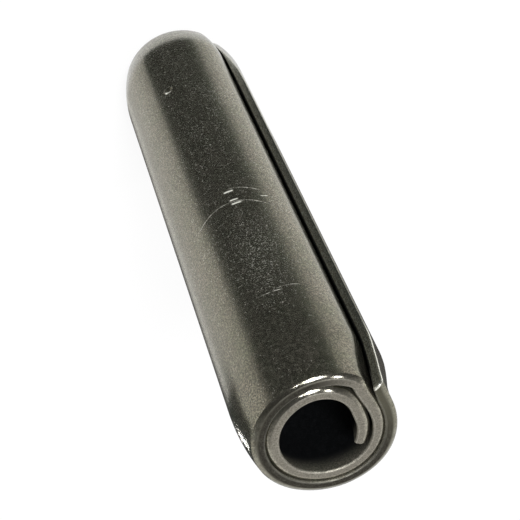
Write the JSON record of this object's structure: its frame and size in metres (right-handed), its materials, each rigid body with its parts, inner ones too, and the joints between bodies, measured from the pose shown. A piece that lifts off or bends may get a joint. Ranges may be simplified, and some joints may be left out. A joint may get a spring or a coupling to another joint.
{
  "type": "coiled spring pin",
  "caption": "Hollow spring pin rolled from one steel strip into a tight spiral, with swaged ends, to press into a drilled hole and hold parts together.",
  "frame": {"origin": "on the pin's axis, in the plane of its lower end face", "axes": "+Z along the pin's axis, from its lower to its upper end; the pin stands on its lower end. The strip's outer end, which makes the seam, is at 50 degrees from +X towards +Y."},
  "size_m": [0.0106, 0.0106, 0.05],
  "materials": {
    "spring_steel": "dark oiled spring steel, finely mottled, semi-matt"
  },
  "bodies": {
    "root": {"coiled_spring_pin": "spring_steel"}
  },
  "joints": []
}
